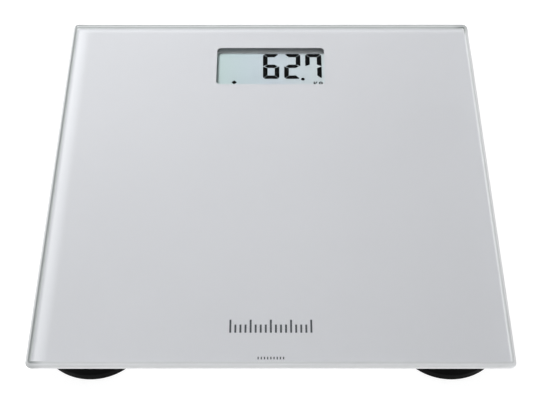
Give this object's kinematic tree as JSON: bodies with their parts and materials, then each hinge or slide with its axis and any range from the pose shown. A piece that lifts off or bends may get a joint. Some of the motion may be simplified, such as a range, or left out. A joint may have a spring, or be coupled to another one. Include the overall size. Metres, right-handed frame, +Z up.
{
  "type": "digital platform scale",
  "caption": "Square glass-topped digital platform scale with a recessed display window and sprung round corner feet.",
  "frame": {"origin": "floor level, under the middle of the square glass platform", "axes": "+Z up, +Y towards the display end, +X to the right as the display is read"},
  "size_m": [0.3, 0.3, 0.025],
  "materials": {
    "clear_glass": "clear tempered float glass, polished round edge",
    "silver_print": "fine silver-grey print under glass",
    "foam_tape": "closed-cell foam adhesive",
    "dark_frame": "matt dark grey ABS",
    "lcd_glass": "thin display glass",
    "lcd_face": "pale grey-green reflective display film",
    "reflector": "satin reflector film",
    "elastomer": "silicone contact strip",
    "circuit_board": "green solder mask",
    "chip_epoxy": "black epoxy",
    "ceramic": "tan ceramic",
    "shield_can": "tinned shield can",
    "connector_nylon": "ivory nylon",
    "screw_steel": "zinc-plated steel",
    "black_case": "fine-textured black ABS",
    "cell_wrap": "plain printed wrap, no lettering",
    "nickel_spring": "nickel-plated spring steel",
    "wire_pvc": "PVC insulation",
    "switch_black": "moulded switch body",
    "switch_white": "switch plunger",
    "button_grey": "matt grey ABS",
    "label_vinyl": "blank vinyl label",
    "gauge_foil": "foil gauge on polyimide",
    "housing_black": "fine-textured black ABS",
    "cell_steel": "stamped alloy steel",
    "acetal": "natural acetal",
    "foot_black": "satin black ABS",
    "foot_rubber": "black rubber"
  },
  "bodies": {
    "platform": {"glass_platform": "clear_glass", "print_film": "silver_print", "window_gasket": "foam_tape", "display_bezel": "dark_frame", "lcd_cell": "lcd_glass", "lcd_polarizer": "lcd_face", "lcd_reflector": "reflector", "zebra_strips": "elastomer", "main_board": "circuit_board", "board_chips": "chip_epoxy", "board_capacitors": "ceramic", "radio_module": "shield_can", "wire_connectors": "connector_nylon", "display_screws": "screw_steel", "module_case": "black_case", "case_tape": "foam_tape", "battery_cells": "cell_wrap", "battery_springs": "nickel_spring", "battery_plates": "nickel_spring", "battery_leads": "wire_pvc", "switch_body": "switch_black", "rating_label": "label_vinyl", "sensor_tapes": "foam_tape", "strain_gauges": "gauge_foil", "sensor_housing_front_left": "housing_black", "sensor_housing_front_right": "housing_black", "sensor_housing_back_left": "housing_black", "sensor_housing_back_right": "housing_black", "load_cell_front_left": "cell_steel", "load_cell_front_right": "cell_steel", "load_cell_back_left": "cell_steel", "load_cell_back_right": "cell_steel", "sensor_wires_front_left": "wire_pvc", "sensor_wires_front_right": "wire_pvc", "sensor_wires_back_left": "wire_pvc", "sensor_wires_back_right": "wire_pvc", "wire_duct_front_left": "housing_black", "wire_duct_front_right": "housing_black", "wire_duct_back_left": "housing_black", "wire_duct_back_right": "housing_black"},
    "foot_front_left": {"foot_shell_front_left": "foot_black", "foot_pad_front_left": "foot_rubber", "load_button_front_left": "acetal"},
    "foot_front_right": {"foot_shell_front_right": "foot_black", "foot_pad_front_right": "foot_rubber", "load_button_front_right": "acetal"},
    "foot_back_left": {"foot_shell_back_left": "foot_black", "foot_pad_back_left": "foot_rubber", "load_button_back_left": "acetal"},
    "foot_back_right": {"foot_shell_back_right": "foot_black", "foot_pad_back_right": "foot_rubber", "load_button_back_right": "acetal"},
    "door": {"battery_door": "black_case"},
    "button": {"unit_button": "button_grey", "switch_plunger": "switch_white"}
  },
  "joints": [
    {"name": "foot_front_left_travel", "type": "slide", "parent": "platform", "child": "foot_front_left", "axis": [0, 0, 1], "range_m": [0, 0.0005], "stiffness_N_per_m": 740000},
    {"name": "foot_front_right_travel", "type": "slide", "parent": "platform", "child": "foot_front_right", "axis": [0, 0, 1], "range_m": [0, 0.0005], "stiffness_N_per_m": 740000},
    {"name": "foot_back_left_travel", "type": "slide", "parent": "platform", "child": "foot_back_left", "axis": [0, 0, 1], "range_m": [0, 0.0005], "stiffness_N_per_m": 740000},
    {"name": "foot_back_right_travel", "type": "slide", "parent": "platform", "child": "foot_back_right", "axis": [0, 0, 1], "range_m": [0, 0.0005], "stiffness_N_per_m": 740000},
    {"name": "battery_door_hinge", "type": "hinge", "parent": "platform", "child": "door", "pos_m": [0, 0.0688, 0.0058], "axis": [1, 0, 0], "range_deg": [0, 95]},
    {"name": "unit_button_press", "type": "slide", "parent": "platform", "child": "button", "axis": [0, 0, 1], "range_m": [0, 0.00025], "stiffness_N_per_m": 6000}
  ]
}
